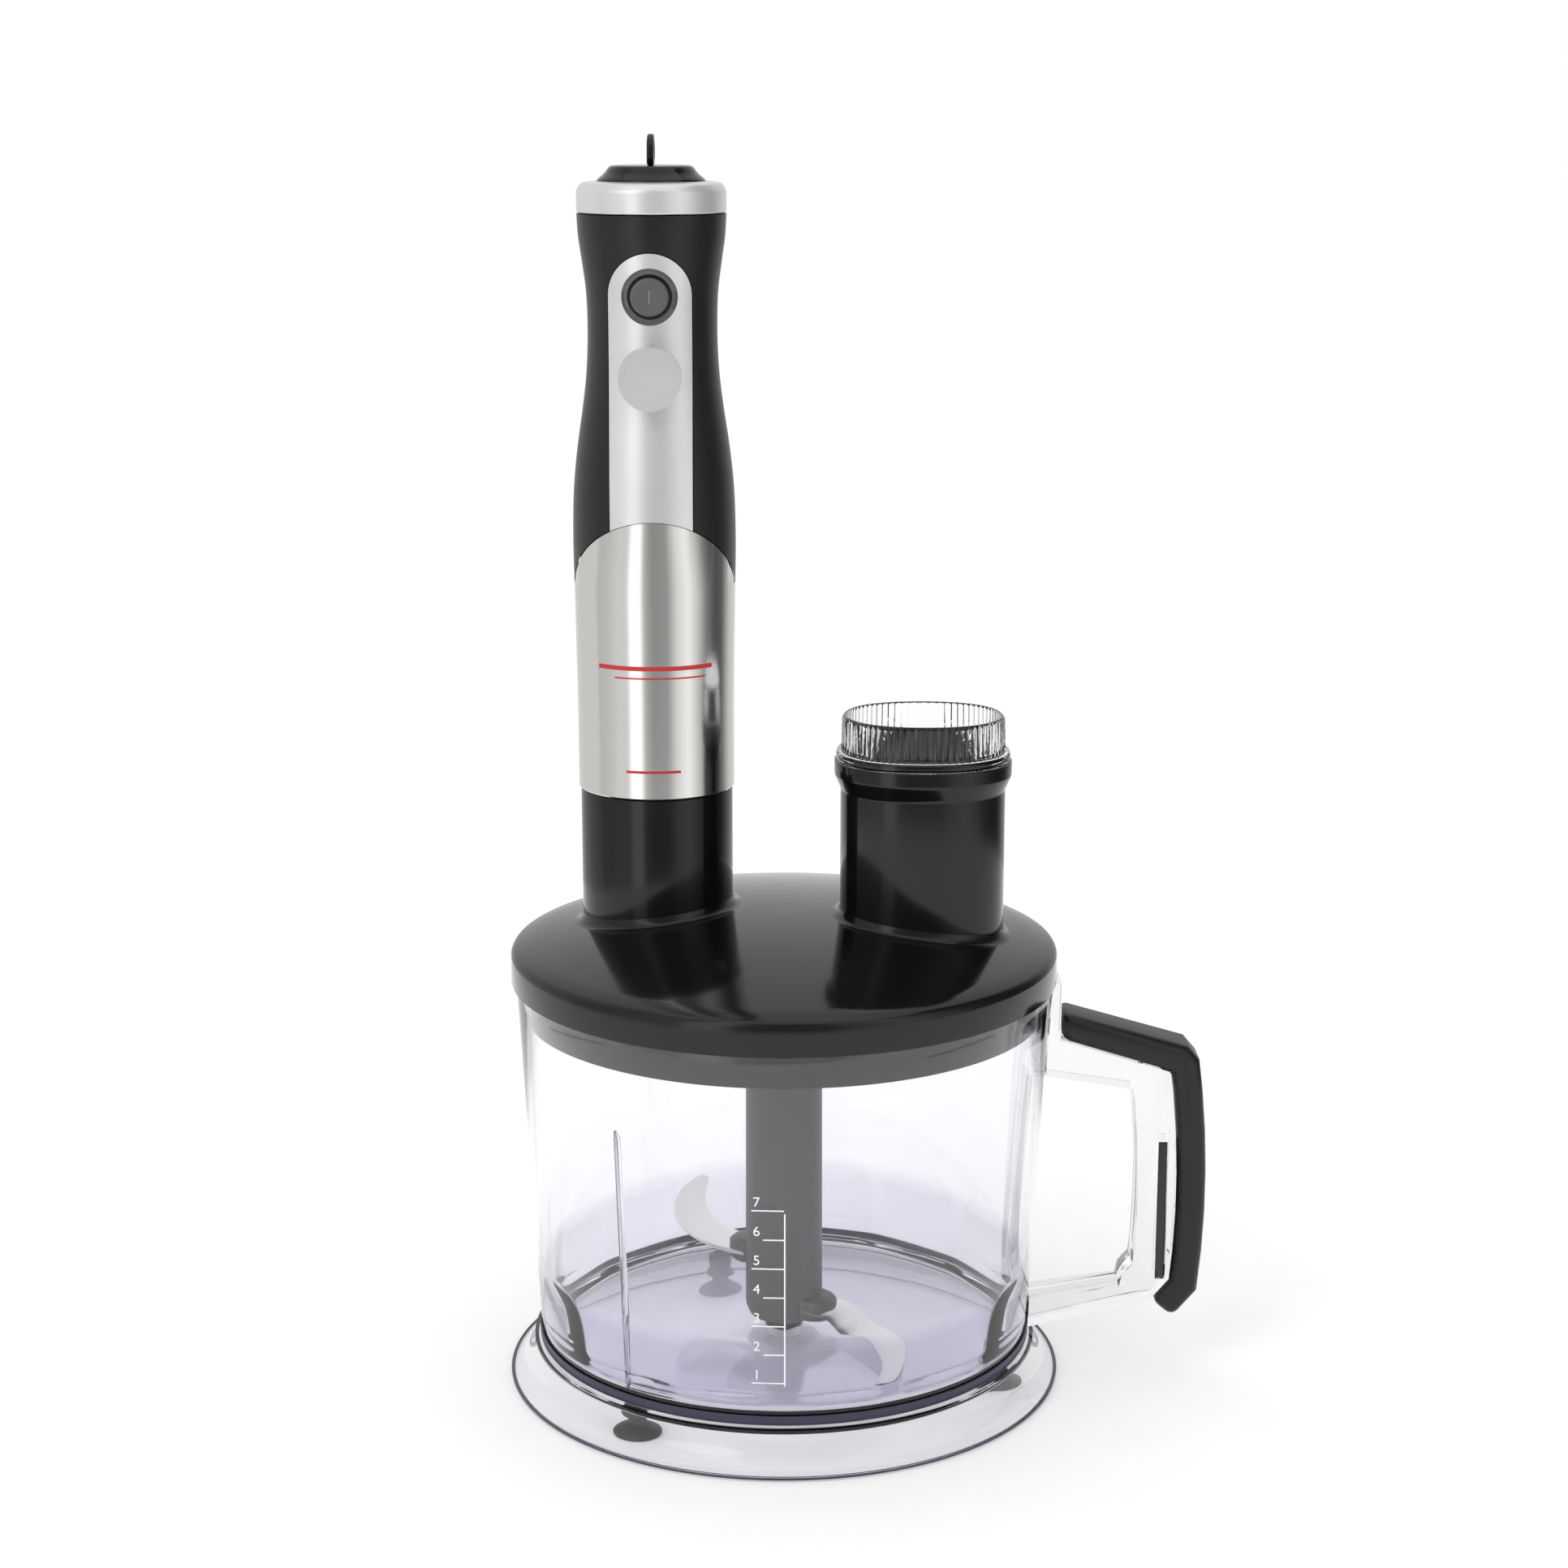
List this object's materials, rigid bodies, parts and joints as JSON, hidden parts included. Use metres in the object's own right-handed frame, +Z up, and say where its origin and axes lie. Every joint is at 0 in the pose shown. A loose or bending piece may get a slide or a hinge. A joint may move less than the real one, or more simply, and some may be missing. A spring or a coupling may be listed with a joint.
{
  "type": "immersion blender with food processor bowl",
  "caption": "Upright stick blender motor unit plugged into the geared lid of a clear round food processor bowl with blade, feed chute, pusher, side handle and suction feet.",
  "frame": {"origin": "on the table, at the middle of the object's box in plan; the bowl's axis is 26.3 mm towards -X from it", "axes": "+Z up; -Y is the front, with the buttons; +X is the side of the feed chute and the bowl's handle"},
  "size_m": [0.2546, 0.202, 0.4457],
  "materials": {
    "clear_plastic": "clear polished moulded plastic, faint violet tint",
    "black_rubber": "matt black rubber",
    "soft_grip": "satin black",
    "gloss_black": "glossy black",
    "inner_black": "plain moulded black",
    "dark_grey": "satin dark grey",
    "button_grey": "satin dark grey",
    "silver_panel": "satin silver paint",
    "polished_sleeve": "polished stainless steel",
    "blade_steel": "ground stainless steel",
    "white_gear": "white acetal",
    "laminated_iron": "laminated iron",
    "copper": "enamelled copper",
    "carbon": "pressed carbon",
    "board": "green laminate"
  },
  "bodies": {
    "base": {"base_plate": "clear_plastic", "suction_foot_1": "black_rubber", "suction_foot_2": "black_rubber", "suction_foot_3": "black_rubber"},
    "bowl": {"bowl": "clear_plastic", "handle_frame": "clear_plastic", "handle_grip": "soft_grip", "grip_clip": "soft_grip", "spindle_pin": "blade_steel"},
    "blade": {"blade_hub": "dark_grey", "hub_bush": "white_gear", "upper_blade": "blade_steel", "lower_blade": "blade_steel"},
    "lid": {"lid_cover": "gloss_black", "lid_seal": "black_rubber", "drive_collar": "gloss_black", "feed_chute": "gloss_black", "gear_cover": "inner_black", "gear_cover_screw_1": "blade_steel", "gear_cover_screw_2": "blade_steel", "gear_cover_screw_3": "blade_steel", "idler_pin": "blade_steel"},
    "pusher": {"pusher": "clear_plastic"},
    "input_drive": {"input_pinion": "white_gear", "input_coupling": "inner_black"},
    "idler": {"idler_gear": "white_gear"},
    "output": {"output_gear": "white_gear"},
    "motor_unit": {"handle_shell_front": "soft_grip", "handle_shell_rear": "soft_grip", "front_panel": "silver_panel", "lower_sleeve": "polished_sleeve", "top_ring": "silver_panel", "top_cap": "gloss_black", "hanging_loop": "gloss_black", "coupling_housing": "gloss_black", "switch_board": "board", "low_speed_microswitch": "inner_black", "high_speed_microswitch": "inner_black", "lower_bearing": "blade_steel", "upper_bearing": "blade_steel", "lower_bracket": "laminated_iron", "upper_bracket": "laminated_iron", "motor_damper": "black_rubber", "motor_stator": "laminated_iron", "field_coil_1": "copper", "field_coil_2": "copper", "carbon_brush_1": "carbon", "carbon_brush_2": "carbon", "low_speed_spring": "blade_steel", "high_speed_spring": "blade_steel"},
    "low_button": {"low_speed_button": "button_grey"},
    "high_button": {"high_speed_button": "button_grey"},
    "armature": {"armature_core": "laminated_iron", "armature_shaft": "blade_steel", "commutator": "copper", "cooling_fan": "inner_black", "drive_dog": "inner_black"}
  },
  "joints": [
    {"name": "bowl_lift", "type": "slide", "parent": "base", "child": "bowl", "axis": [0, 0, 1], "range_m": [0, 0.04]},
    {"name": "lid_lift", "type": "slide", "parent": "bowl", "child": "lid", "axis": [0, 0, 1], "range_m": [0, 0.16]},
    {"name": "motor_unit_lift", "type": "slide", "parent": "lid", "child": "motor_unit", "axis": [0, 0, 1], "range_m": [0, 0.06]},
    {"name": "pusher_lift", "type": "slide", "parent": "lid", "child": "pusher", "axis": [0, 0, 1], "range_m": [0, 0.11]},
    {"name": "low_speed_press", "type": "slide", "parent": "motor_unit", "child": "low_button", "axis": [0, 1, 0], "range_m": [0, 0.0025], "stiffness_N_per_m": 400, "springref_m": -0.001, "deforming": ["low_speed_spring"]},
    {"name": "high_speed_press", "type": "slide", "parent": "motor_unit", "child": "high_button", "axis": [0, 1, 0], "range_m": [0, 0.0025], "stiffness_N_per_m": 400, "springref_m": -0.001, "deforming": ["high_speed_spring"]},
    {"name": "armature_spin", "type": "hinge", "parent": "motor_unit", "child": "armature", "pos_m": [-0.072, 0.01293, 0], "axis": [0, 0, 1], "continuous": true},
    {"name": "input_drive_spin", "type": "hinge", "parent": "lid", "child": "input_drive", "pos_m": [-0.072, 0.01293, 0], "axis": [0, 0, 1], "continuous": true},
    {"name": "idler_spin", "type": "hinge", "parent": "lid", "child": "idler", "pos_m": [-0.05035, 0.00681, 0], "axis": [0, 0, 1], "continuous": true},
    {"name": "output_spin", "type": "hinge", "parent": "lid", "child": "output", "pos_m": [-0.0263, 0, 0], "axis": [0, 0, 1], "continuous": true},
    {"name": "blade_spin", "type": "hinge", "parent": "bowl", "child": "blade", "pos_m": [-0.0263, 0, 0], "axis": [0, 0, 1], "continuous": true}
  ],
  "couplings": [
    {"joint": "input_drive_spin", "follows": "armature_spin", "ratio": 1},
    {"joint": "idler_spin", "follows": "armature_spin", "ratio": -0.5},
    {"joint": "output_spin", "follows": "armature_spin", "ratio": 0.33333},
    {"joint": "blade_spin", "follows": "armature_spin", "ratio": 0.33333}
  ]
}
